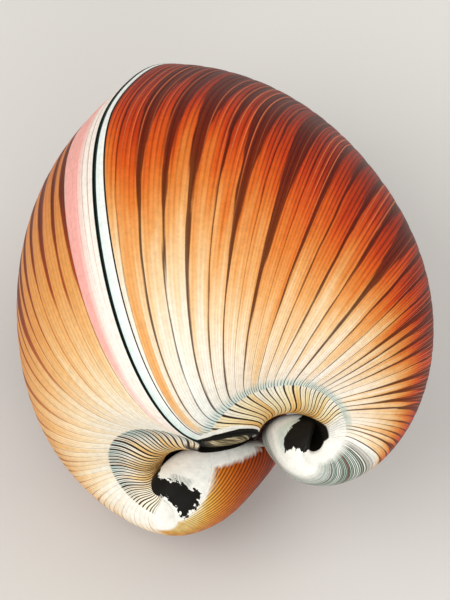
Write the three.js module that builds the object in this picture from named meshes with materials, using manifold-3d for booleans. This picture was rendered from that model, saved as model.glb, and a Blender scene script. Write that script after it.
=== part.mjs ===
// Heart cockle shell, closed: two valves that grew along one coil, and the ligament between them.
// Millimetres, +Z up. The shell lies on its left valve, and the origin is under its middle.
import * as THREE from 'three';
import { mergeVertices } from 'three/addons/utils/BufferGeometryUtils.js';
import Module from 'manifold-3d';

// ---- size ----
const UNIT = 36;              // mean radius of the valve's margin
const GAP = 0.3;              // free space between the pieces
const WALL = 2.4;             // thickness of a valve

// ---- margin: a closed curve round this centre, in the plane between the valves ----
const MARGIN_Y = 0.952;
const MARGIN_Z = 0.953;
const MARGIN_COS = [0.226, 0.048, 0.034, 0.007];      // harmonics 2 to 5 of its radius
const MARGIN_SIN = [0.063, -0.05, 0.002, -0.01];
const CORNER = { at: 4.166, width: 0.243, height: 0.217 };      // the hinge corner
const HINGE_START = 3.636;    // angle on the margin where the ligament starts
const HINGE_END = 4.189;
const HINGE_FLATNESS = 0.4;   // 1 would make the hinge line straight
const GAPE = 0.179;           // how far each margin stands back beside the ligament

// ---- growth: each earlier margin is smaller and turned about the coil's axis ----
const APEX_X = 0.482;         // the beak's tip, from the plane between the valves
const AXIS_LEAN = -0.48;      // the coil's axis, turned in plan from straight back
const SHRINK = [0.2226, 0.1076, -0.0125];
const GROW = [0.227, -0.087]; // earlier margins are this much longer and lower for their stage
const DRIFT = [0.077, -0.07];
const LAST_CHANGE = 1.6;      // half turns of coil over which the margin's shape still changes
const COIL_END = 395;         // degrees of coil down to the first shell
const CAVITY_END = 190;       // degrees of coil that the hollow reaches
const CAVITY_TIP = 9;         // degrees further that its closed end points
const TIP_NARROWING = 0.5;    // how far the hollow's last ring closes, and how far it moves on
const TIP_ADVANCE = 0.4;
const THINNEST = 0.05;        // the hollow never shrinks below this share of the outside

// ---- ligament: a pad in the gap between the two hinge margins ----
const STRAP_START = 0.16;     // stretch of the hinge line that it covers
const STRAP_END = 0.84;
const STRAP_THICK = 1.1;
const STRAP_DEPTH = 1.4;      // how far it lies inside the margin
const STRAP_BLUNTNESS = 0.4;  // smaller makes its ends squarer
const STRAP_TIP = 0.04;       // share of its length cut off each pointed end

// ---- rest ----
const FOOT_DEPTH = 0.45;      // worn flat under the left valve
const CUTTER = { width: 400, height: 40 };
const UP = new THREE.Vector3(0.603, -0.353, 0.715);
const RIGHT = new THREE.Vector3(0.769, 0.018, -0.639);

// ---- fineness ----
const AROUND = 40;
const RINGS = 40;
const CAVITY_RINGS = 14;
const CROWDING = 0.5;         // points stand closer together at the hinge
const STRAP_STEPS = 22;
const STRAP_SIDES = 10;

const rad = THREE.MathUtils.degToRad;

function marginRadius(t) {
  let r = 1;
  for (let n = 2; n <= 5; n++) {
    r += MARGIN_COS[n - 2] * Math.cos(n * t) + MARGIN_SIN[n - 2] * Math.sin(n * t);
  }
  return r + CORNER.height * Math.exp(-(((t - CORNER.at) / CORNER.width) ** 2));
}

const roundMargin = (t) => new THREE.Vector3(0, Math.cos(t), Math.sin(t))
  .multiplyScalar(marginRadius(t));

// A point of the right valve's margin, from the margin's centre.
function marginPoint(t) {
  const p = roundMargin(t);
  const u = (t - HINGE_START) / (HINGE_END - HINGE_START);
  if (u > 0 && u < 1) {
    const chord = roundMargin(HINGE_START).lerp(roundMargin(HINGE_END), u);
    p.lerp(chord, HINGE_FLATNESS);
    p.x = GAPE * Math.sin(Math.PI * u) ** 2;
  }
  return p;
}

const centre = new THREE.Vector3(0, MARGIN_Y, MARGIN_Z);
const apex = new THREE.Vector3(APEX_X, 0, 0);
const axis = new THREE.Vector3(Math.sin(AXIS_LEAN), Math.cos(AXIS_LEAN), 0);

// A point of the right valve: s is the turn back along the coil, t the place on the margin.
function shellPoint(s, t, inset = 0) {
  const shrink = Math.exp(-(SHRINK[0] * s + SHRINK[1] * s * s + SHRINK[2] * s ** 3));
  const q = Math.min(s / Math.PI, LAST_CHANGE);
  const p = marginPoint(t);
  const keep = Math.max(1 - inset / (UNIT * shrink * Math.hypot(p.y, p.z)), THINNEST);
  p.y = p.y * keep * (1 + q * GROW[0]) + q * DRIFT[0];
  p.z = p.z * keep * (1 + q * GROW[1]) + q * DRIFT[1];
  p.add(centre).sub(apex);
  p.applyAxisAngle(axis, s).multiplyScalar(shrink).add(apex).multiplyScalar(UNIT);
  p.x = Math.max(p.x, 0) + GAP / 2;
  return p;
}

// Closed skin through rings of equal size, with a point at each end.
function skin(rings, ends) {
  const n = rings[0].length;
  const index = [];
  for (let i = 0; i < rings.length - 1; i++) {
    const a = i * n;
    const b = a + n;
    for (let j = 0; j < n; j++) {
      const k = (j + 1) % n;
      index.push(a + j, a + k, b + k, a + j, b + k, b + j);
    }
  }
  const first = rings.length * n;
  const end = first - n;
  for (let j = 0; j < n; j++) {
    const k = (j + 1) % n;
    index.push(first, k, j);
    index.push(first + 1, end + j, end + k);
  }
  const geometry = new THREE.BufferGeometry().setFromPoints([...rings.flat(), ...ends]);
  return geometry.setIndex(index);
}

const middle = (ring) => ring.reduce((sum, p) => sum.add(p), new THREE.Vector3())
  .divideScalar(ring.length);

function ringAt(s, inset = 0) {
  return Array.from({ length: AROUND }, (_, j) => {
    const even = (2 * Math.PI * j) / AROUND;
    return shellPoint(s, even - CROWDING * Math.sin(even - CORNER.at), inset);
  });
}

function valve() {
  const outer = Array.from({ length: RINGS + 1 }, (_, i) => ringAt(rad((COIL_END * i) / RINGS)));
  const hollow = Array.from(
    { length: CAVITY_RINGS + 1 },
    (_, i) => ringAt(rad((CAVITY_END * i) / CAVITY_RINGS), WALL),
  );
  const end = middle(hollow[CAVITY_RINGS]);
  const beyond = middle(ringAt(rad(CAVITY_END + CAVITY_TIP), WALL));
  hollow.push(hollow[CAVITY_RINGS].map(
    (p) => p.clone().lerp(end, TIP_NARROWING).lerp(beyond, TIP_ADVANCE),
  ));
  const rings = [...hollow.reverse(), ...outer];
  return skin(rings, [middle(rings[0]).lerp(beyond, TIP_NARROWING), middle(outer[RINGS])]);
}

// A pad along the hinge that fills the space between the two margins.
function ligament() {
  const { lerp } = THREE.MathUtils;
  const rings = [];
  for (let i = 0; i <= STRAP_STEPS; i++) {
    const place = i / STRAP_STEPS;
    const along = lerp(STRAP_START, STRAP_END, place);
    const p = marginPoint(lerp(HINGE_START, HINGE_END, along));
    const half = UNIT * p.x - GAP;
    const out = new THREE.Vector3(0, p.y, p.z).normalize();
    const base = centre.clone().add(p.setX(0)).multiplyScalar(UNIT);
    base.addScaledVector(out, -STRAP_DEPTH);
    const end = Math.sin(Math.PI * lerp(STRAP_TIP, 1 - STRAP_TIP, place)) ** STRAP_BLUNTNESS;
    rings.push(Array.from({ length: STRAP_SIDES }, (_, j) => {
      const a = (2 * Math.PI * j) / STRAP_SIDES;
      const point = base.clone().addScaledVector(out, STRAP_THICK * end * Math.cos(a));
      return point.setX(-half * Math.sin(a));
    }));
  }
  return skin(rings, [middle(rings[0]), middle(rings[STRAP_STEPS])]);
}

// ---- rest: turn every piece so that the left valve's side is underneath ----
const ahead = new THREE.Vector3().crossVectors(UP, RIGHT).normalize();
const right = new THREE.Vector3().crossVectors(ahead, UP).normalize();
const up = UP.clone().normalize();
const rest = new THREE.Matrix4().makeBasis(right, ahead, up).transpose();
const mirror = new THREE.Matrix4().makeScale(-1, 1, 1);

function flipFaces(geometry) {
  const index = geometry.index.array;
  for (let i = 0; i < index.length; i += 3) {
    const keep = index[i + 1];
    index[i + 1] = index[i + 2];
    index[i + 2] = keep;
  }
  return geometry;
}

const rightValve = valve().applyMatrix4(rest);
const leftValve = flipFaces(valve().applyMatrix4(mirror)).applyMatrix4(rest);
const strap = ligament().applyMatrix4(rest);

const wasm = await Module();
wasm.setup();

function toSolid(geometry) {
  const plain = new THREE.BufferGeometry();
  plain.setAttribute('position', geometry.getAttribute('position').clone());
  plain.setIndex(geometry.index.clone());
  const merged = mergeVertices(plain, 1e-4);
  return new wasm.Manifold(new wasm.Mesh({
    numProp: 3,
    vertProperties: new Float32Array(merged.getAttribute('position').array),
    triVerts: new Uint32Array(merged.index.array),
  }));
}

function fromSolid(solid) {
  const mesh = solid.getMesh();
  const geometry = new THREE.BufferGeometry();
  geometry.setAttribute('position', new THREE.BufferAttribute(mesh.vertProperties, 3));
  geometry.setIndex(new THREE.BufferAttribute(mesh.triVerts, 1));
  return geometry;
}

leftValve.computeBoundingBox();
const low = leftValve.boundingBox;
const block = new THREE.BoxGeometry(CUTTER.width, CUTTER.width, CUTTER.height);
block.translate(0, 0, low.min.z + FOOT_DEPTH - CUTTER.height / 2);
const wornValve = fromSolid(toSolid(leftValve).subtract(toSolid(block)));

const bounds = new THREE.Box3();
for (const geometry of [rightValve, wornValve, strap]) {
  geometry.computeBoundingBox();
  bounds.union(geometry.boundingBox);
}
const shift = bounds.getCenter(new THREE.Vector3()).setZ(bounds.min.z).negate();

function piece(name, geometry, color, roughness) {
  geometry.translate(shift.x, shift.y, shift.z);
  geometry.computeVertexNormals();
  const material = new THREE.MeshStandardMaterial({ color, roughness, metalness: 0 });
  const mesh = new THREE.Mesh(geometry, material);
  mesh.name = name;
  return mesh;
}

const shell = new THREE.Group();
shell.name = 'heart_cockle_shell';
shell.add(
  piece('right_valve', rightValve, 0xc9713a, 0.38),
  piece('left_valve', wornValve, 0xdca36e, 0.38),
  piece('ligament', strap, 0x2b2118, 0.7),
);

export default shell;
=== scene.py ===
"""A closed heart cockle shell: two valves grown along one coil, and the ligament between them.

The shell lies on its left valve. Metres, +Z up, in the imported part's frame.
"""

import math
from functools import partial

import bmesh
import bpy
from mathutils import Matrix, Vector


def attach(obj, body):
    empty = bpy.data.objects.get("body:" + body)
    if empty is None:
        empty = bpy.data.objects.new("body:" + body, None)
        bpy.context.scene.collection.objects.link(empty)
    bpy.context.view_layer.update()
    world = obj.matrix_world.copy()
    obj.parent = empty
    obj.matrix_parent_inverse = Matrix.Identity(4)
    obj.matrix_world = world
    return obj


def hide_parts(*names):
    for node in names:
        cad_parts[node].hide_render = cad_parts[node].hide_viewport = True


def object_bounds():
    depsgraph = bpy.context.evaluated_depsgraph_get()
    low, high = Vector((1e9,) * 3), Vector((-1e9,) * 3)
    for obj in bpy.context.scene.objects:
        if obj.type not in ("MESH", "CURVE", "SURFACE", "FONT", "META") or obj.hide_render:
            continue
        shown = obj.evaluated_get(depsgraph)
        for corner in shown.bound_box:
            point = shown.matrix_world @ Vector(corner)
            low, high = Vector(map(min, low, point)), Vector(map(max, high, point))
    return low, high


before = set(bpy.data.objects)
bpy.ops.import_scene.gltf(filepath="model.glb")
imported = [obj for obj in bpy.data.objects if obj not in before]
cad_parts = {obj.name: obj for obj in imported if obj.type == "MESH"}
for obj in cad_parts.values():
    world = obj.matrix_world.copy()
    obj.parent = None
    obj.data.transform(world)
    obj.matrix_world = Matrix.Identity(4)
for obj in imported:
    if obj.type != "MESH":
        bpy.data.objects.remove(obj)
cad_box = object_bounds()

MM = 0.001

# ---- margin: a closed curve in the plane between the valves, in units of its mean radius ----
UNIT = 36 * MM
GAP = 0.3 * MM                # free space between the pieces
WALL = 2.4 * MM               # thickness of a valve
MARGIN_Y = 0.952
MARGIN_Z = 0.953
MARGIN_COS = (0.226, 0.048, 0.034, 0.007)      # harmonics 2 to 5 of its radius
MARGIN_SIN = (0.063, -0.05, 0.002, -0.01)
CORNER = {"at": 4.166, "width": 0.243, "height": 0.217}
HINGE_START = 3.636           # angle on the margin where the ligament starts
HINGE_END = 4.189
HINGE_FLATNESS = 0.4
GAPE = 0.179                  # how far each margin stands back beside the ligament

# ---- growth: each earlier margin is smaller and turned about the coil's axis ----
APEX = Vector((0.482, 0, 0))
AXIS_LEAN = -0.48             # the coil's axis, turned in plan from straight back
SHRINK = (0.2226, 0.1076, -0.0125)
GROW = (0.227, -0.087)        # earlier margins are this much longer and lower for their stage
DRIFT = (0.077, -0.07)
LAST_CHANGE = 1.6             # half turns of coil over which the margin's shape still changes
COIL_END = math.radians(395)
CAVITY_END = math.radians(190)
TIP_STEPS = ((0.86, 0.1), (0.7, 0.07), (0.45, 0.04))      # size and turn of each closing ring

# ---- rest: which way is up, and which is right, in the shell's frame ----
UP = Vector((0.603, -0.353, 0.715))
RIGHT = Vector((0.769, 0.018, -0.639))
TOP_CLEARANCE = 0.1 * MM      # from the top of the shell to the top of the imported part's box
CUT_TOLERANCE = 1e-6

# ---- fineness ----
AROUND = 40                   # points round a margin
STAGES = 118                  # margins from the rim to the first shell
HOLLOW_STAGES = 12
STAGE_CROWDING = 0.6          # margins stand closer together at the rim
CROWDING = 0.5                # points stand closer together at the hinge
SMOOTHING = 2                 # subdivision level
SHARP = math.radians(50)      # edges that bend more than this stay crisp

# ---- relief of the growth halts ----
HALTS = 12.0                  # halts for each radian of coil
SLOW_DRIFT = (0.5, 3.1)       # halts gained and lost, and how fast that comes and goes with age
QUICK_DRIFT = (0.35, 7.3)
HALT_DEPTH = 0.13 * MM
HALT_WIDTH = 0.13             # in halts
FIRST_HALT = 0.5              # the rim itself is no halt
FAINTEST = 0.01               # anything shallower is left flat


def linear(colour):
    """An sRGB hex value, or a plain grey level, as the linear colour that a shader takes."""
    if isinstance(colour, (int, float)):
        return (colour, colour, colour, 1.0)
    parts = [int(colour[i:i + 2], 16) / 255 for i in (1, 3, 5)]
    return tuple(c / 12.92 if c <= 0.04045 else ((c + 0.055) / 1.055) ** 2.4 for c in parts) + (1.0,)


def add(tree, kind, *feeds, out=0, stops=(), **settings):
    """Adds a node with its settings, its ramp stops, and a link or a value for each input in turn."""
    node = tree.nodes.new("ShaderNode" + kind)
    for name, value in settings.items():
        setattr(node, name, value)
    for place, (at, colour) in enumerate(stops):
        elements = node.color_ramp.elements
        stop = elements[place] if place < 2 else elements.new(at)
        stop.position = at
        stop.color = linear(colour)
    for socket, value in zip(node.inputs, feeds):
        if isinstance(value, bpy.types.NodeSocket):
            tree.links.new(value, socket)
        elif isinstance(value, str):
            socket.default_value = linear(value)
        elif value is not None:
            socket.default_value = value
    return node.outputs[out] if node.outputs else None


# ================= shape =================

def margin_radius(angle):
    r = 1 + CORNER["height"] * math.exp(-(((angle - CORNER["at"]) / CORNER["width"]) ** 2))
    for n in range(2, 6):
        r += MARGIN_COS[n - 2] * math.cos(n * angle) + MARGIN_SIN[n - 2] * math.sin(n * angle)
    return r


def round_margin(angle):
    return Vector((0, math.cos(angle), math.sin(angle))) * margin_radius(angle)


def margin_point(angle):
    """A point of the right valve's margin, from the margin's centre."""
    point = round_margin(angle)
    u = (angle - HINGE_START) / (HINGE_END - HINGE_START)
    if 0 < u < 1:
        chord = round_margin(HINGE_START).lerp(round_margin(HINGE_END), u)
        point = point.lerp(chord, HINGE_FLATNESS)
        point.x = GAPE * math.sin(math.pi * u) ** 2
    return point


def shrink(age):
    return math.exp(-(SHRINK[0] * age + SHRINK[1] * age ** 2 + SHRINK[2] * age ** 3))


def stretch(age, wall):
    q = min(age / math.pi, LAST_CHANGE)
    keep = 1 - wall / (UNIT * shrink(age))
    return Vector((1, 1 + q * GROW[0], 1 + q * GROW[1])) * keep


def middle(age):
    """The centre of the margin of one age, seen from the apex, before it turns with the coil."""
    q = min(age / math.pi, LAST_CHANGE)
    return Vector((0, MARGIN_Y + q * DRIFT[0], MARGIN_Z + q * DRIFT[1])) - APEX


def coil_axes():
    """The coil's own frame: its columns are its side, its depth and its axis in the shell's frame."""
    sine, cosine = math.sin(AXIS_LEAN), math.cos(AXIS_LEAN)
    side, depth, axis = Vector((cosine, -sine, 0)), Vector((0, 0, -1)), Vector((sine, cosine, 0))
    return Matrix((side, depth, axis)).transposed()


COIL = coil_axes()


def halt_phase(age):
    """Counts the growth halts from the rim; they don't fall at even times."""
    slow = SLOW_DRIFT[0] * math.sin(SLOW_DRIFT[1] * age)
    quick = QUICK_DRIFT[0] * (math.sin(QUICK_DRIFT[1] * age + 1) - math.sin(1))
    return HALTS * age + slow + quick


def deselect_all():
    if bpy.context.object and bpy.context.object.mode != "OBJECT":
        bpy.ops.object.mode_set(mode="OBJECT")
    bpy.ops.object.select_all(action="DESELECT")


def only(piece):
    deselect_all()
    piece.select_set(True)
    bpy.context.view_layer.objects.active = piece


def picked(piece):
    """The edit mesh and its selected vertices."""
    edit = bmesh.from_edit_mesh(piece.data)
    return edit, [v for v in edit.verts if v.select]


def record_age(piece, age):
    edit, ring = picked(piece)
    growth = edit.verts.layers.float_vector["growth"]
    for v in ring:
        v[growth].z = age
    return sum((v.co for v in ring), Vector()) / len(ring)


def grow(name, ages, wall):
    """Grows a tube of margins back along the coil, in the coil's own frame, and rounds off its end."""
    deselect_all()
    bpy.ops.mesh.primitive_circle_add(vertices=AROUND, radius=UNIT, fill_type="NOTHING")
    tube = bpy.context.object
    tube.name = name
    bpy.ops.object.mode_set(mode="EDIT")
    bpy.ops.mesh.select_all(action="SELECT")
    edit = bmesh.from_edit_mesh(tube.data)
    growth = edit.verts.layers.float_vector.new("growth")
    edit.verts.ensure_lookup_table()
    for j, v in enumerate(edit.verts):
        even = 2 * math.pi * j / AROUND
        angle = (even - CROWDING * math.sin(even - CORNER["at"])) % (2 * math.pi)
        own = margin_point(angle) * stretch(0, wall) + middle(0)
        v.co = COIL.transposed() @ own * UNIT
        v[growth] = (math.cos(angle), math.sin(angle), 0)
    bmesh.update_edit_mesh(tube.data)
    for before, now in zip(ages, ages[1:]):
        turned = Matrix.Rotation(before, 3, "Z") @ COIL.transposed()
        size = shrink(before) * UNIT
        change = [b / a for a, b in zip(stretch(before, wall), stretch(now, wall))]
        bpy.ops.mesh.extrude_edges_move()
        bpy.ops.transform.resize(
            value=change, orient_type="GLOBAL", orient_matrix=turned, orient_matrix_type="GLOBAL",
            center_override=turned @ middle(before) * size)
        bpy.ops.transform.translate(value=turned @ (middle(now) - middle(before)) * size)
        bpy.ops.transform.rotate(value=before - now, orient_axis="Z", center_override=(0, 0, 0))
        ratio = shrink(now) / shrink(before)
        bpy.ops.transform.resize(value=(ratio, ratio, ratio), center_override=(0, 0, 0))
        record_age(tube, now)
    for size, turn in TIP_STEPS:
        bpy.ops.mesh.extrude_edges_move()
        bpy.ops.transform.rotate(value=-turn, orient_axis="Z", center_override=(0, 0, 0))
        centre = record_age(tube, ages[-1] + turn)
        bpy.ops.transform.resize(value=(size, size, size), center_override=centre)
    bpy.ops.mesh.extrude_edges_move()
    bpy.ops.mesh.merge(type="CENTER")
    bpy.ops.object.mode_set(mode="OBJECT")
    return tube


def valve_cage():
    """One valve in the shell's frame, rim towards the plane x = 0: outside, hollow and rim between."""
    rings = [u / STAGES for u in range(STAGES + 1)]
    ages = [COIL_END * (u + STAGE_CROWDING * u * u) / (1 + STAGE_CROWDING) for u in rings]
    outer = grow("right_valve_shell", ages, 0)
    steps = range(HOLLOW_STAGES + 1)
    hollow = grow("hollow", [CAVITY_END * i / HOLLOW_STAGES for i in steps], WALL)
    only(outer)
    hollow.select_set(True)
    bpy.ops.object.join()
    bpy.ops.object.mode_set(mode="EDIT")
    bpy.ops.mesh.select_all(action="DESELECT")
    bpy.ops.mesh.select_mode(type="EDGE")
    bpy.ops.mesh.select_non_manifold()
    edit = bmesh.from_edit_mesh(outer.data)
    crease = edit.edges.layers.float.new("crease_edge")
    for edge in edit.edges:
        if edge.select:
            edge[crease] = 1.0
    bpy.ops.mesh.bridge_edge_loops()
    bpy.ops.mesh.select_all(action="SELECT")
    bpy.ops.mesh.normals_make_consistent(inside=False)
    bpy.ops.object.mode_set(mode="OBJECT")
    outer.matrix_world = Matrix.Translation(APEX * UNIT) @ COIL.to_4x4()
    bpy.ops.object.transform_apply()
    bpy.ops.object.mode_set(mode="EDIT")
    bpy.ops.mesh.select_mode(type="VERT")
    bpy.ops.mesh.select_all(action="DESELECT")
    edit = bmesh.from_edit_mesh(outer.data)
    for v in edit.verts:
        v.select = v.co.x < 0
    edit.select_flush(True)
    bpy.ops.transform.resize(value=(0, 1, 1), center_override=(0, 0, 0))
    bpy.ops.mesh.select_all(action="SELECT")
    bpy.ops.transform.translate(value=(GAP / 2, 0, 0))
    bpy.ops.object.mode_set(mode="OBJECT")
    return outer


def finish_valve(valve):
    """Smooths a valve's cage and presses its growth halts in."""
    only(valve)
    bpy.ops.object.modifier_add(type="SUBSURF")
    smooth = valve.modifiers[-1]
    smooth.levels = SMOOTHING
    smooth.render_levels = SMOOTHING
    bpy.ops.object.modifier_apply(modifier=smooth.name)
    halts = valve.vertex_groups.new(name="halts")
    for index, item in enumerate(valve.data.attributes["growth"].data):
        age = item.vector.z
        phase = halt_phase(age)
        off = abs(phase - round(phase))
        depth = math.exp(-((off / HALT_WIDTH) ** 2)) * shrink(age)
        if phase > FIRST_HALT and depth > FAINTEST:
            halts.add([index], depth, "REPLACE")
    bpy.ops.object.modifier_add(type="DISPLACE")
    press = valve.modifiers[-1]
    press.vertex_group = "halts"
    press.mid_level = 0
    press.strength = -HALT_DEPTH
    bpy.ops.object.modifier_apply(modifier=press.name)
    valve.vertex_groups.clear()
    bpy.ops.object.shade_smooth_by_angle(angle=SHARP)


def rest_turn():
    """Turns the shell's frame to the frame in which it lies on its left valve."""
    ahead = UP.cross(RIGHT).normalized()
    return Matrix((ahead.cross(UP).normalized(), ahead, UP.normalized()))


def settle(pieces):
    """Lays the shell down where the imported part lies: same middle, and its top just inside the box."""
    turned = [rest_turn() @ v.co for piece in pieces for v in piece.data.vertices]
    low, high = (Vector(map(pick, zip(*turned))) for pick in (min, max))
    shift = (cad_box[0] + cad_box[1]) / 2 - (low + high) / 2
    shift.z = cad_box[1].z - TOP_CLEARANCE - high.z
    for piece in pieces:
        only(piece)
        piece.matrix_world = Matrix.Translation(shift) @ rest_turn().to_4x4()
        bpy.ops.object.transform_apply()


def valves():
    right = valve_cage()
    only(right)
    bpy.ops.object.duplicate()
    left = bpy.context.object
    left.name = "left_valve_shell"
    bpy.ops.object.mode_set(mode="EDIT")
    bpy.ops.mesh.select_all(action="SELECT")
    bpy.ops.transform.resize(value=(-1, 1, 1), center_override=(0, 0, 0))
    bpy.ops.mesh.normals_make_consistent(inside=False)
    bpy.ops.object.mode_set(mode="OBJECT")
    finish_valve(right)
    finish_valve(left)
    return right, left


def wear_foot(valve, floor):
    """Cuts the left valve flat where it rests."""
    only(valve)
    bpy.ops.object.mode_set(mode="EDIT")
    bpy.ops.mesh.select_all(action="SELECT")
    bpy.ops.mesh.bisect(plane_co=(0, 0, floor), plane_no=(0, 0, 1), clear_inner=True, use_fill=True,
                        threshold=CUT_TOLERANCE)
    bpy.ops.object.mode_set(mode="OBJECT")


# ---- ligament ----
STRAP_STEPS = 48
STRAP_SIDES = 40
STRAP_FROM, STRAP_TO = 0.16, 0.84      # stretch of the hinge line it covers
STRAP_THICK = 1.1 * MM
STRAP_DEPTH = 1.4 * MM                 # how far it lies inside the margin
STRAP_BLUNTNESS = 0.4                  # smaller makes its ends squarer
STRAP_TIP = 0.04                       # share of its length cut off each pointed end
STRAP_FIBRES = 9
FIBRE_DEPTH = 0.09                     # share of its half thickness
FIBRE_TWIST = 3


def ligament():
    """A horny pad of lengthwise fibres that fills the space between the two margins."""
    deselect_all()
    bpy.ops.mesh.primitive_circle_add(vertices=STRAP_SIDES, radius=UNIT, fill_type="NOTHING")
    strap = bpy.context.object
    strap.name = "ligament_strap"
    bpy.ops.object.mode_set(mode="EDIT")
    bpy.ops.mesh.select_all(action="SELECT")
    edit = bmesh.from_edit_mesh(strap.data)
    edit.verts.layers.float_vector.new("growth")
    for step in range(STRAP_STEPS + 1):
        if step:
            bpy.ops.mesh.extrude_edges_move()
        place = step / STRAP_STEPS
        u = STRAP_FROM + (STRAP_TO - STRAP_FROM) * place
        point = margin_point(HINGE_START + (HINGE_END - HINGE_START) * u)
        half = UNIT * point.x - GAP
        out = Vector((0, point.y, point.z)).normalized()
        base = (Vector((0, MARGIN_Y + point.y, MARGIN_Z + point.z)) * UNIT) - out * STRAP_DEPTH
        end = math.sin(math.pi * (STRAP_TIP + (1 - 2 * STRAP_TIP) * place)) ** STRAP_BLUNTNESS
        edit, ring = picked(strap)
        growth = edit.verts.layers.float_vector["growth"]
        for j, v in enumerate(ring):
            a = 2 * math.pi * j / STRAP_SIDES
            ridge = 1 - FIBRE_DEPTH * (0.5 + 0.5 * math.cos(STRAP_FIBRES * 2 * a + FIBRE_TWIST * place))
            v.co = base + out * (STRAP_THICK * end * math.cos(a) * ridge)
            v.co.x = -half * math.sin(a) * (0.5 + 0.5 * ridge)
            v[growth] = (math.sin(a), math.cos(a), place)
        bmesh.update_edit_mesh(strap.data)
    bpy.ops.mesh.select_all(action="DESELECT")
    bpy.ops.mesh.select_mode(type="EDGE")
    bpy.ops.mesh.select_non_manifold()
    bpy.ops.mesh.edge_face_add()
    bpy.ops.mesh.select_all(action="SELECT")
    bpy.ops.mesh.normals_make_consistent(inside=False)
    bpy.ops.mesh.select_mode(type="VERT")
    bpy.ops.object.mode_set(mode="OBJECT")
    bpy.ops.object.shade_smooth_by_angle(angle=SHARP)
    return strap


# ================= finishes =================

MOTTLE = 1 / (1.2 * MM)       # mottles of about a millimetre
FAR_END = 25.0                # degrees round the margin, opposite the hinge
HALF_TURN = 180.0
OLDEST = 7.0                  # radians of coil that a ramp over age spans
SHELL_IOR = 1.53              # of aragonite; the horny strap's is close to it
SHELL_ROUGHNESS = 0.42
HORN_ROUGHNESS = 0.55
LINE_RELIEF = 0.05 * MM
FIBRE_RELIEF = 0.2 * MM
GLOSS = 0.05                  # specular level


def finish_named(name):
    material = bpy.data.materials.new(name)
    material.use_nodes = True
    material.node_tree.nodes.clear()
    return material, partial(add, material.node_tree)


def place_on_valve(put):
    """Where a point grew: angle round the margin in degrees, age, distance from the far end, and halts."""
    parts = put("SeparateXYZ", put("Attribute", attribute_name="growth", out=1)).node.outputs
    turn = put("Math", parts[1], parts[0], operation="ARCTAN2")
    angle = put("Math", put("Math", turn, operation="DEGREES"), 360.0, 0.0, operation="WRAP")
    age = parts[2]
    off = put("Math", angle, FAR_END, operation="SUBTRACT")
    fan = put("Math", put("Math", off, HALF_TURN, -HALF_TURN, operation="WRAP"), operation="ABSOLUTE")
    slow = put("Math", put("Math", age, SLOW_DRIFT[1], operation="MULTIPLY"), operation="SINE")
    quick = put("Math", age, QUICK_DRIFT[1], 1.0, operation="MULTIPLY_ADD")
    quick = put("Math", quick, operation="SINE")
    count = put("Math", age, HALTS, -QUICK_DRIFT[0] * math.sin(1), operation="MULTIPLY_ADD")
    count = put("Math", slow, SLOW_DRIFT[0], count, operation="MULTIPLY_ADD")
    count = put("Math", quick, QUICK_DRIFT[0], count, operation="MULTIPLY_ADD")
    return angle, age, fan, count, parts


def window(put, value, low, low_full, high_full, high):
    """1 between low_full and high_full, fading to 0 at low and at high."""
    rise = put("MapRange", value, low, low_full, 0.0, 1.0, interpolation_type="SMOOTHSTEP")
    fall = put("MapRange", value, high_full, high, 1.0, 0.0, interpolation_type="SMOOTHSTEP")
    return put("Math", rise, fall, operation="MULTIPLY")


def grain(put, parts, along, across, detail):
    """Noise drawn out along the growth lines: fine in age, slow round the margin."""
    where = put("CombineXYZ", put("Math", parts[2], along, operation="MULTIPLY"),
                put("Math", parts[0], across, operation="MULTIPLY"),
                put("Math", parts[1], across, operation="MULTIPLY"))
    return put("TexNoise", where, None, 1.0, detail, 0.6)


def swayed(put, value, chance, reach):
    """A value moved to and fro by a random one between 0 and 1; reach is the whole way it moves."""
    return put("Math", put("Math", chance, 0.5, operation="SUBTRACT"), reach, value,
               operation="MULTIPLY_ADD")


def line_at(put, count, width, soft):
    """A line on each whole count; width is half of it, in counts."""
    off = put("Math", count, 0.5, operation="PINGPONG")
    low = put("Math", width, soft, operation="SUBTRACT")
    high = put("Math", width, soft, operation="ADD")
    return put("MapRange", off, low, high, 1.0, 0.0, interpolation_type="SMOOTHSTEP")


def cell(put, count, seed):
    """One random value for each band between two halts."""
    whole = put("Math", put("Math", count, operation="FLOOR"), seed, operation="ADD")
    return put("TexWhiteNoise", None, whole, noise_dimensions="1D")


def each_line(put, count, seed):
    return cell(put, put("Math", count, 0.5, operation="ADD"), seed)


def glazed(put, colour, bump_height, roughness, depth):
    """Ends a finish: colour with a fine mottle, gloss and bump."""
    mottle = put("TexNoise", put("TexCoord", out=3), None, MOTTLE, 3.0, 0.7)
    mottle = put("MapRange", mottle, 0.3, 0.7, 0.88, 1.06)
    colour = put("MixRGB", 1.0, colour, put("CombineXYZ", mottle, mottle, mottle), blend_type="MULTIPLY")
    bump = put("Bump", 1.0, depth, None, bump_height)
    shader = put("BsdfPrincipled", colour, 0.0, roughness, SHELL_IOR, 1.0, bump)
    shader.node.inputs["Specular IOR Level"].default_value = GLOSS
    put("OutputMaterial", shader)


def line_height(put, stripe, hair, age):
    """The dark lines lie a little lower than the shell, down to the beak."""
    return put("Math", put("Math", stripe, hair, operation="ADD"),
               put("MapRange", age, 1.5, 3.0, -1.0, 0.0), operation="MULTIPLY")


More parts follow.
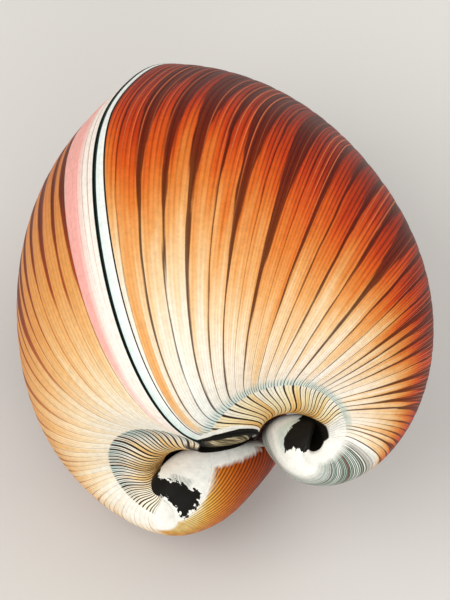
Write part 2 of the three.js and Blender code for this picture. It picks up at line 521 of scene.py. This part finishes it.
def right_wash_and_painted_light(put, age, fan, count, parts, years, strength):
    """Fired red-brown at the far end, paling to cream at the hinge, with a dark stripe at each halt; the
    dark far end and the pale middle are partly the shell's own colour, partly painted shade and a painted
    highlight.
    """
    shift = put("ValToRGB", years, stops=(
        (0.0, 0.53), (0.9, 0.95), (0.036, 0.49), (0.07, 0.42), (0.13, 0.32), (0.2, 0.27), (0.32, 0.22),
        (0.4, 0.25), (0.44, 0.9)))
    streak = grain(put, parts, 22.0, 1.1, 2.0)
    shifted = swayed(put, fan, shift, 200.0)
    tint = swayed(put, shifted, streak, 60.0)
    steeper = put("Math", put("MapRange", age, 0.7, 1.5, 0.0, 30.0),
                  put("MapRange", fan, 112.0, 150.0, 0.0, 1.0), operation="MULTIPLY")
    tint = put("Math", tint, steeper, operation="ADD")
    band = swayed(put, tint, cell(put, count, 3.0), 18.0)
    first_band = put("Math", window(put, count, 0.95, 1.05, 1.6, 1.7),
                     put("MapRange", fan, 115.0, 160.0, 0.0, 1.0), operation="MULTIPLY")
    band = put("Math", first_band, -34.0, band, operation="MULTIPLY_ADD")
    # the wash: the shell's colour, with painted shade towards the far end and a painted highlight towards
    # the hinge
    wash = put("ValToRGB", put("Math", band, 1 / HALF_TURN, operation="MULTIPLY"), stops=(
        (0.0, "#7d1c08"), (1.0, "#f6f4ea"), (0.2, "#9c270a"), (0.34, "#c43c10"), (0.45, "#d95a1a"),
        (0.55, "#e07e34"), (0.65, "#e9a661"), (0.75, "#f1cd9c"), (0.84, "#f6e4cb")))
    # each halt's dark stripe is broad at the far end and tapers to a thread towards the hinge
    reach = put("Math", each_line(put, count, 7.0), -50.0, shifted, operation="MULTIPLY_ADD")
    broad = put("MapRange", reach, -10.0, 85.0, 0.34, 0.045)
    broad = put("Math", broad, put("MapRange", strength, 0.1, 0.9, 0.15, 1.6), operation="MULTIPLY")
    broad = put("Math", broad, put("MapRange", age, 0.9, 2.5, 1.0, 2.2), operation="MULTIPLY")
    rough_edge = grain(put, parts, 60.0, 2.5, 1.0)
    uneven = swayed(put, count, rough_edge, 0.22)
    stripe = line_at(put, uneven, broad, 0.035)
    ink = put("ValToRGB", put("Math", tint, 1 / HALF_TURN, operation="MULTIPLY"), stops=(
        (0.0, "#4c1309"), (1.0, "#2a1d16"), (0.4, "#571508"), (0.7, "#431709")))
    colour = put("MixRGB", put("Math", stripe, 0.88, operation="MULTIPLY"), wash, ink)
    # hair lines between the halts, strong where the shell is dark: partly painted shade hatching
    hair = line_at(put, put("Math", count, 5.0, operation="MULTIPLY"), 0.17, 0.1)
    shade_hatch_tone = put("MapRange", tint, 50.0, 115.0, 0.6, 0.07)
    colour = put("MixRGB", put("Math", hair, shade_hatch_tone, operation="MULTIPLY"), colour, "#3c1309")
    bright = line_at(put, put("Math", put("Math", count, 3.0, operation="MULTIPLY"), 0.4, operation="ADD"),
                     0.07, 0.06)
    bright_tone = put("Math", put("MapRange", tint, 60.0, 120.0, 0.8, 0.0), cell(put, count, 53.0),
                      operation="MULTIPLY")
    colour = put("MixRGB", put("Math", bright, bright_tone, operation="MULTIPLY"), colour, "#ea7a44")
    return colour, stripe, hair


def right_lunule(put, colour, angle, age, count, strength, hatch):
    """Blue-grey hatching along the keel, and the yellow lunule inside it."""
    keel = window(put, angle, 203.5, 209.0, 209.8, 210.6)
    young = put("MapRange", age, 2.4, 2.8, 1.0, 0.0)
    keel = put("Math", keel, young, operation="MULTIPLY")
    keel_paint = put("MixRGB", hatch, "#cfe6df", "#3d504d")
    colour = put("MixRGB", put("Math", keel, 0.75, operation="MULTIPLY"), colour, keel_paint)
    lunule = window(put, angle, 209.5, 210.5, 236.0, 244.0)
    lunule = put("Math", lunule, put("MapRange", age, 2.9, 3.3, 1.0, 0.0), operation="MULTIPLY")
    warm = put("Math", cell(put, count, 29.0), 14.0, angle, operation="MULTIPLY_ADD")
    warm = put("MapRange", warm, 212.0, 240.0, 0.0, 1.0)
    gold = put("ValToRGB", warm, stops=((0.0, "#f6f1e2"), (1.0, "#e59a48"), (0.35, "#f8e4b4"),
                                        (0.7, "#f0bd6c")))
    gold = put("MixRGB", put("MapRange", age, 2.1, 2.4, 0.0, 1.0), gold, "#f5f1e6")
    fold_width = put("Math", strength, 0.09, 0.07, operation="MULTIPLY_ADD")
    fold = line_at(put, count, fold_width, 0.04)
    fold = put("Math", fold, put("MapRange", age, 2.3, 2.6, 1.0, 0.15), operation="MULTIPLY")
    gold = put("MixRGB", fold, gold, "#2b1d14")
    half_fold = line_at(put, put("Math", count, 2.0, operation="MULTIPLY"), 0.1, 0.08)
    gold = put("MixRGB", put("Math", half_fold, 0.35, operation="MULTIPLY"), gold, "#4d3a26")
    return put("MixRGB", lunule, colour, gold)


def right_beak(put, colour, angle, age, count, parts, years, hatch):
    """Grey-green and brown stripes, then bare white, then the worn black tip, and black painted shade in the
    groove under the beak.
    """
    pale = put("MapRange", age, 2.85, 3.1, 0.0, 1.0)
    bare = put("ValToRGB", cell(put, put("Math", count, 2.0, operation="MULTIPLY"), 41.0), stops=(
        (0.0, "#8a5f4c"), (1.0, "#f4f1e6"), (0.3, "#b0cbbd"), (0.6, "#dfe9de")))
    bare_line = line_at(put, put("Math", count, 2.0, operation="MULTIPLY"), 0.28, 0.06)
    bare = put("MixRGB", put("Math", bare_line, 0.9, operation="MULTIPLY"), bare, "#33302a")
    fade_from = put("MapRange", angle, 60.0, 150.0, 4.15, 3.85)
    fading = put("MapRange", put("Math", age, fade_from, operation="SUBTRACT"), 0.0, 0.9, 0.0, 1.0,
                 interpolation_type="SMOOTHSTEP")
    bare = put("MixRGB", fading, bare, "#f4f2e9")
    front = put("MapRange", angle, 203.0, 213.0, 0.0, 1.0)
    bare = put("MixRGB", front, bare, "#f5f2e8")
    mist = put("Math", window(put, age, 4.9, 5.3, 6.2, 6.5), window(put, angle, 30.0, 55.0, 105.0, 130.0),
               operation="MULTIPLY")
    bare = put("MixRGB", put("Math", mist, 0.5, operation="MULTIPLY"), bare,
               put("MixRGB", hatch, "#b4d3c8", "#6f8f86"))
    colour = put("MixRGB", pale, colour, bare)
    # painted shade: black in the groove under the beak, beside the lunule
    start = put("ValToRGB", years, stops=(
        (0.0, 0.64), (1.0, 0.9), (0.23, 0.5), (0.33, 0.3), (0.4, 0.3), (0.45, 0.45), (0.57, 0.52),
        (0.7, 0.66)))
    start = put("MapRange", start, 0.0, 1.0, 212.0, 244.0)
    inside = put("Math", angle, start, operation="SUBTRACT")
    beak_groove_shade = window(put, inside, 0.0, 1.5, 44.0, 56.0)
    colour = put("MixRGB", beak_groove_shade, colour, "#17140f")
    hump = put("Math", put("Math", angle, 118.0, operation="SUBTRACT"), 42.0, operation="DIVIDE")
    hump = put("Math", put("Math", hump, 2.0, operation="POWER"), -1.0, operation="MULTIPLY")
    hump = put("Math", hump, operation="EXPONENT")
    ragged = grain(put, parts, 5.0, 5.0, 4.0)
    edge = put("Math", hump, 0.95, age, operation="MULTIPLY_ADD")
    edge = swayed(put, edge, ragged, 0.9)
    tip = put("MapRange", edge, 6.2, 6.25, 0.0, 1.0)
    return put("MixRGB", tip, colour, "#1b1916")


def right_rim(put, colour, angle, age, fan):
    """A pale blue-white strip edged by a dark line on each side, white and black at the hinge; the black is
    painted shade of the gap beside the ligament.
    """
    rim_end = put("MapRange", fan, 55.0, 170.0, 0.02, 0.056)
    inner = put("Math", rim_end, age, operation="SUBTRACT")
    rim = put("MapRange", inner, -0.001, 0.001, 0.0, 1.0)
    pale_rim = put("MixRGB", put("MapRange", inner, 0.0, 0.045, 0.0, 1.0), "#f4f4ec", "#d8e9e2")
    colour = put("MixRGB", rim, colour, pale_rim)
    colour = put("MixRGB", window(put, inner, -0.006, -0.004, 0.0, 0.002), colour, "#251a14")
    commissure = window(put, age, -0.1, -0.05, 0.005, 0.007)
    colour = put("MixRGB", commissure, colour, "#1d2a27")
    at_hinge = window(put, angle, 206.4, 206.6, 250.0, 255.0)
    white_end = put("MapRange", angle, 207.0, 216.0, 0.055, 0.21)
    rim = put("Math", at_hinge, put("Math", age, white_end, operation="LESS_THAN"), operation="MULTIPLY")
    colour = put("MixRGB", rim, colour, "#f3f0e4")
    # black beside the ligament: painted shade of the gap between margin and ligament
    gap_shade_end = put("MapRange", angle, 206.5, 218.0, 0.006, 0.14)
    rim = put("Math", at_hinge, put("Math", age, gap_shade_end, operation="LESS_THAN"), operation="MULTIPLY")
    return put("MixRGB", rim, colour, "#14120e")


def right_valve_colours():
    """Polished aragonite with a thin coloured outer layer, red-brown to cream."""
    material, put = finish_named("polished_shell_red_brown")
    angle, age, fan, count, parts = place_on_valve(put)
    years = put("Math", age, 1 / OLDEST, operation="MULTIPLY")
    strength = each_line(put, count, 11.0)
    hatch = line_at(put, put("Math", count, 3.0, operation="MULTIPLY"), 0.17, 0.06)
    colour, stripe, hair = right_wash_and_painted_light(put, age, fan, count, parts, years, strength)
    colour = right_lunule(put, colour, angle, age, count, strength, hatch)
    colour = right_beak(put, colour, angle, age, count, parts, years, hatch)
    colour = right_rim(put, colour, angle, age, fan)
    glazed(put, colour, line_height(put, stripe, hair, age), SHELL_ROUGHNESS, LINE_RELIEF)
    return material


def left_wash(put, age, fan, count, parts, streak, strength):
    """Tan at the far end, paling to cream at the hinge, with thin red-brown streaks."""
    darker = put("Math", put("MapRange", age, 0.2, 0.9, 0.0, 10.0),
                 put("MapRange", age, 1.8, 2.8, 0.0, 22.0), operation="SUBTRACT")
    tint = swayed(put, put("Math", fan, darker, operation="SUBTRACT"), streak, 32.0)
    band = swayed(put, tint, cell(put, count, 5.0), 9.0)
    wash = put("ValToRGB", put("Math", band, 1 / HALF_TURN, operation="MULTIPLY"), stops=(
        (0.0, "#a34018"), (1.0, "#f5f1e4"), (0.25, "#c2602a"), (0.45, "#d98440"), (0.7, "#e59f56"),
        (0.8, "#eebb7c"), (0.88, "#f4dab0"), (0.94, "#f6ead2")))
    outer_fan = put("Math", fan, put("MapRange", age, 0.2, 1.5, 0.0, 38.0), operation="SUBTRACT")
    reach = put("Math", each_line(put, count, 7.0), -30.0, outer_fan, operation="MULTIPLY_ADD")
    broad = put("MapRange", reach, 55.0, 118.0, 0.42, 0.025)
    broad = put("Math", broad, put("MapRange", strength, 0.1, 0.9, 0.4, 1.7), operation="MULTIPLY")
    rough_edge = grain(put, parts, 60.0, 2.5, 1.0)
    uneven = swayed(put, count, rough_edge, 0.2)
    stripe = line_at(put, uneven, broad, 0.05)
    fade = put("MapRange", fan, 125.0, 182.0, 0.95, 0.3)
    ink = put("MixRGB", put("MapRange", outer_fan, 90.0, 125.0, 0.0, 1.0), "#5e1407", "#a03a18")
    colour = put("MixRGB", put("Math", stripe, fade, operation="MULTIPLY"), wash, ink)
    hair = line_at(put, put("Math", count, 4.0, operation="MULTIPLY"), 0.14, 0.1)
    colour = put("MixRGB", put("Math", hair, 0.16, operation="MULTIPLY"), colour, "#6b3a20")
    return colour, stripe, hair


def left_rim(put, colour, age, fan):
    """Cream with a few brown threads, then a pink band that narrows towards the hinge."""
    pink_end = put("MapRange", fan, 40.0, 165.0, 0.165, 0.135)
    cream = put("MapRange", put("Math", age, pink_end, operation="SUBTRACT"), -0.004, 0.004, 1.0, 0.0)
    thread = line_at(put, put("Math", age, 36.0, operation="MULTIPLY"), 0.06, 0.05)
    thread_tone = put("MapRange", fan, 95.0, 135.0, 0.8, 0.15)
    cream_paint = put("MixRGB", put("Math", thread, thread_tone, operation="MULTIPLY"), "#fbf1e4", "#b05a35")
    colour = put("MixRGB", cream, colour, cream_paint)
    pink_start = put("MapRange", fan, 60.0, 165.0, 0.062, 0.095)
    pink = put("MapRange", put("Math", age, pink_start, operation="SUBTRACT"), -0.02, 0.02, 0.0, 1.0)
    pink = put("Math", pink, put("Math", age, pink_end, operation="LESS_THAN"), operation="MULTIPLY")
    pink = put("Math", pink, put("MapRange", fan, 145.0, 178.0, 1.0, 0.2), operation="MULTIPLY")
    return put("MixRGB", pink, colour, "#f6b0a4")


def left_lunule(put, colour, angle, age, count, strength, hatch):
    """Hatched black, white and blue at the keel, golden further in."""
    lunule = window(put, angle, 206.5, 207.5, 238.0, 246.0)
    lunule = put("Math", lunule, put("MapRange", age, 3.3, 3.6, 1.0, 0.0), operation="MULTIPLY")
    warm = put("Math", cell(put, count, 31.0), 10.0, angle, operation="MULTIPLY_ADD")
    warm = put("MapRange", warm, 209.0, 236.0, 0.0, 1.0)
    gold = put("ValToRGB", warm, stops=((0.0, "#cfe5de"), (1.0, "#e0a355"), (0.3, "#f6eedc"),
                                        (0.6, "#f2cd8e")))
    gold = put("MixRGB", put("MapRange", age, 2.0, 2.5, 0.0, 1.0), gold, "#f7ecd4")
    keel = window(put, angle, 206.0, 207.0, 210.0, 217.0)
    keel = put("Math", keel, put("MapRange", age, 2.2, 2.8, 1.0, 0.0), operation="MULTIPLY")
    gold = put("MixRGB", put("Math", keel, put("Math", hatch, 0.8, operation="MULTIPLY"),
                             operation="MULTIPLY"), gold, "#2a2622")
    fold_width = put("Math", strength, 0.12, 0.13, operation="MULTIPLY_ADD")
    fold = line_at(put, count, fold_width, 0.05)
    gold = put("MixRGB", fold, gold, "#2b1a10")
    return put("MixRGB", lunule, colour, gold)


def left_beak(put, colour, angle, age, parts, streak, hatch):
    """White, with a red-brown to golden flank ruled with fine lines, a worn black patch, and black painted
    shade in the groove under the beak.
    """
    pale = put("MapRange", age, 3.1, 3.3, 0.0, 1.0)
    flank_turn = put("Math", put("Math", angle, -0.0042, age, operation="MULTIPLY_ADD"), 14.0,
                     operation="MULTIPLY")
    ruled = line_at(put, flank_turn, 0.2, 0.1)
    flank_paint = put("ValToRGB", put("Math", put("Math", angle, 1 / 200, operation="MULTIPLY"),
                                      put("MapRange", age, 3.4, 4.6, -0.1, 0.5), operation="ADD"),
                      stops=((0.0, "#a03c10"), (1.0, "#f2d084"), (0.3, "#c25817"), (0.6, "#dc822c"),
                             (0.85, "#e9b050")))
    flank_paint = put("MixRGB", put("Math", ruled, 0.75, operation="MULTIPLY"), flank_paint, "#3b170a")
    flank_end = put("MapRange", angle, 6.0, 45.0, 3.45, 4.4)
    soft_edge = swayed(put, age, streak, 0.3)
    flank = put("MapRange", put("Math", flank_end, soft_edge, operation="SUBTRACT"), -0.05, 0.12,
                0.0, 1.0)
    flank = put("Math", flank, put("Math", 1.0, window(put, angle, 183.0, 190.0, 400.0, 410.0),
                                   operation="SUBTRACT"), operation="MULTIPLY")
    bare = put("MixRGB", flank, "#f4f2e9", flank_paint)
    mist = put("Math", window(put, age, 4.8, 5.0, 5.5, 5.8), window(put, angle, 85.0, 95.0, 118.0, 125.0),
               operation="MULTIPLY")
    bare = put("MixRGB", put("Math", mist, hatch, operation="MULTIPLY"), bare, "#55645e")
    colour = put("MixRGB", pale, colour, bare)
    # painted shade: black in the groove under the beak, beside the lunule
    beak_groove_shade = window(put, angle, 234.5, 236.0, 262.0, 275.0)
    beak_groove_shade = put("Math", beak_groove_shade, put("MapRange", age, 2.4, 3.2, 1.0, 0.0), operation="MULTIPLY")
    colour = put("MixRGB", beak_groove_shade, colour, "#17140f")
    ragged = grain(put, parts, 5.0, 5.0, 4.0)
    torn = swayed(put, angle, ragged, 60.0)
    rag = swayed(put, age, ragged, 0.9)
    patch = put("Math", put("MapRange", rag, 4.45, 4.48, 0.0, 1.0),
                window(put, torn, 111.0, 112.0, 176.0, 177.0), operation="MULTIPLY")
    patch = put("Math", patch, put("MapRange", rag, 6.3, 6.35, 0.0, 1.0), operation="MAXIMUM")
    return put("MixRGB", patch, colour, "#1b1916")


def left_edge(put, colour, angle, age):
    """The dark line where the valves meet, and black beside the ligament, painted shade of the gap there."""
    colour = put("MixRGB", put("MapRange", age, 0.003, 0.005, 1.0, 0.0), colour, "#1d2a27")
    # black beside the ligament: painted shade of the gap between margin and ligament
    hinge = put("Math", window(put, angle, 215.0, 220.0, 250.0, 255.0),
                put("MapRange", age, 0.2, 0.23, 1.0, 0.0), operation="MULTIPLY")
    return put("MixRGB", hinge, colour, "#14120e")


def left_valve_colours():
    """The same polished shell, paler, with a pink band beside the rim."""
    material, put = finish_named("polished_shell_tan_cream")
    angle, age, fan, count, parts = place_on_valve(put)
    streak = grain(put, parts, 18.0, 1.1, 2.0)
    strength = each_line(put, count, 17.0)
    hatch = line_at(put, put("Math", count, 2.0, operation="MULTIPLY"), 0.2, 0.06)
    colour, stripe, hair = left_wash(put, age, fan, count, parts, streak, strength)
    colour = left_rim(put, colour, age, fan)
    colour = left_lunule(put, colour, angle, age, count, strength, hatch)
    colour = left_beak(put, colour, angle, age, parts, streak, hatch)
    colour = left_edge(put, colour, angle, age)
    glazed(put, colour, line_height(put, stripe, hair, age), SHELL_ROUGHNESS, LINE_RELIEF)
    return material


def ligament_colours():
    """Horny conchiolin: dark olive-brown fibres, some bleached to cream, black along both edges and at both
    ends: painted shade that widens the shadowed gap beside the margins.
    """
    material, put = finish_named("horny_ligament_olive")
    parts = put("SeparateXYZ", put("Attribute", attribute_name="growth", out=1)).node.outputs
    where = put("CombineXYZ", put("Math", parts[0], 9.0, operation="MULTIPLY"), 0.0,
                put("Math", parts[2], 1.6, operation="MULTIPLY"))
    fibre = put("TexNoise", where, None, 1.0, 2.0, 0.6)
    tone = put("ValToRGB", fibre, stops=(
        (0.36, "#1f1c15"), (0.72, "#e3d9ba"), (0.45, "#4b4230"), (0.53, "#8a7c58"), (0.6, "#b7aa84")))
    # black edges and ends: painted shade of the gap between the strap and the margins
    side = put("Math", parts[0], operation="ABSOLUTE")
    edge = put("MapRange", side, 0.55, 0.72, 0.0, 1.0)
    colour = put("MixRGB", edge, tone, "#14110d")
    ends = put("Math", 1.0, window(put, parts[2], 0.06, 0.16, 0.86, 0.95), operation="SUBTRACT")
    colour = put("MixRGB", ends, colour, "#14110d")
    glazed(put, colour, fibre, HORN_ROUGHNESS, FIBRE_RELIEF)
    return material


# ================= the shell =================

right_valve, left_valve = valves()
strap = ligament()
settle((right_valve, left_valve, strap))
wear_foot(left_valve, cad_box[0].z)

right_valve.data.materials.append(right_valve_colours())
left_valve.data.materials.append(left_valve_colours())
strap.data.materials.append(ligament_colours())

for piece, node, slot in ((right_valve, "right_valve", "right_valve"),
                          (left_valve, "left_valve", "left_valve"),
                          (strap, "ligament", "ligament")):
    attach(piece, "root")
    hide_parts(node)


# ================= camera, floor and light =================

LENS = 400.0
SENSOR = 36.0                 # on the long side of the picture
VIEW_HEIGHT = 119.6 * MM      # what the picture takes in at the shell
ELEVATION = math.radians(62)
ROLL = math.radians(12)
AIM = Vector((-0.5, -1.7, 39.0)) * MM


def camera():
    bpy.ops.object.camera_add()
    eye = bpy.context.object
    eye.data.lens = LENS
    eye.data.sensor_width = SENSOR
    eye.data.clip_end = 20
    back = Vector((0, -math.cos(ELEVATION), math.sin(ELEVATION)))
    above = Vector((0, math.sin(ELEVATION), math.cos(ELEVATION)))
    side = Vector((math.cos(ROLL), 0, 0)) + above * math.sin(ROLL)
    above = back.cross(side)
    turn = Matrix((side, above, back)).transposed().to_4x4()
    distance = LENS / SENSOR * VIEW_HEIGHT
    eye.matrix_world = Matrix.Translation(AIM + back * distance) @ turn
    bpy.context.scene.camera = eye


def studio():
    deselect_all()
    bpy.ops.mesh.primitive_plane_add(size=4)
    floor = bpy.context.object
    floor.name = "floor"
    material, put = finish_named("matt_paper")
    shader = put("BsdfPrincipled", "#d6d3cd", 0.0, 0.9)
    put("OutputMaterial", shader)
    floor.data.materials.append(material)
    lamps = (("key", (-0.7, -0.6, 1.2), 0.9, 9.5), ("fill", (0.5, -1.3, 0.7), 1.2, 8.0),
             ("back", (0.8, 0.9, 0.9), 0.9, 5.0))
    for name, place, size, power in lamps:
        bpy.ops.object.light_add(type="AREA", location=place)
        lamp = bpy.context.object
        lamp.name = name
        lamp.data.size = size
        lamp.data.energy = power
        lamp.rotation_euler = (-Vector(place)).to_track_quat("-Z", "Y").to_euler()
    world = bpy.data.worlds.new("soft_room")
    world.use_nodes = True
    world.node_tree.nodes["Background"].inputs[0].default_value = (1, 1, 1, 1)
    world.node_tree.nodes["Background"].inputs[1].default_value = 0.66
    bpy.context.scene.world = world
    bpy.context.scene.view_settings.view_transform = "Standard"


camera()
studio()
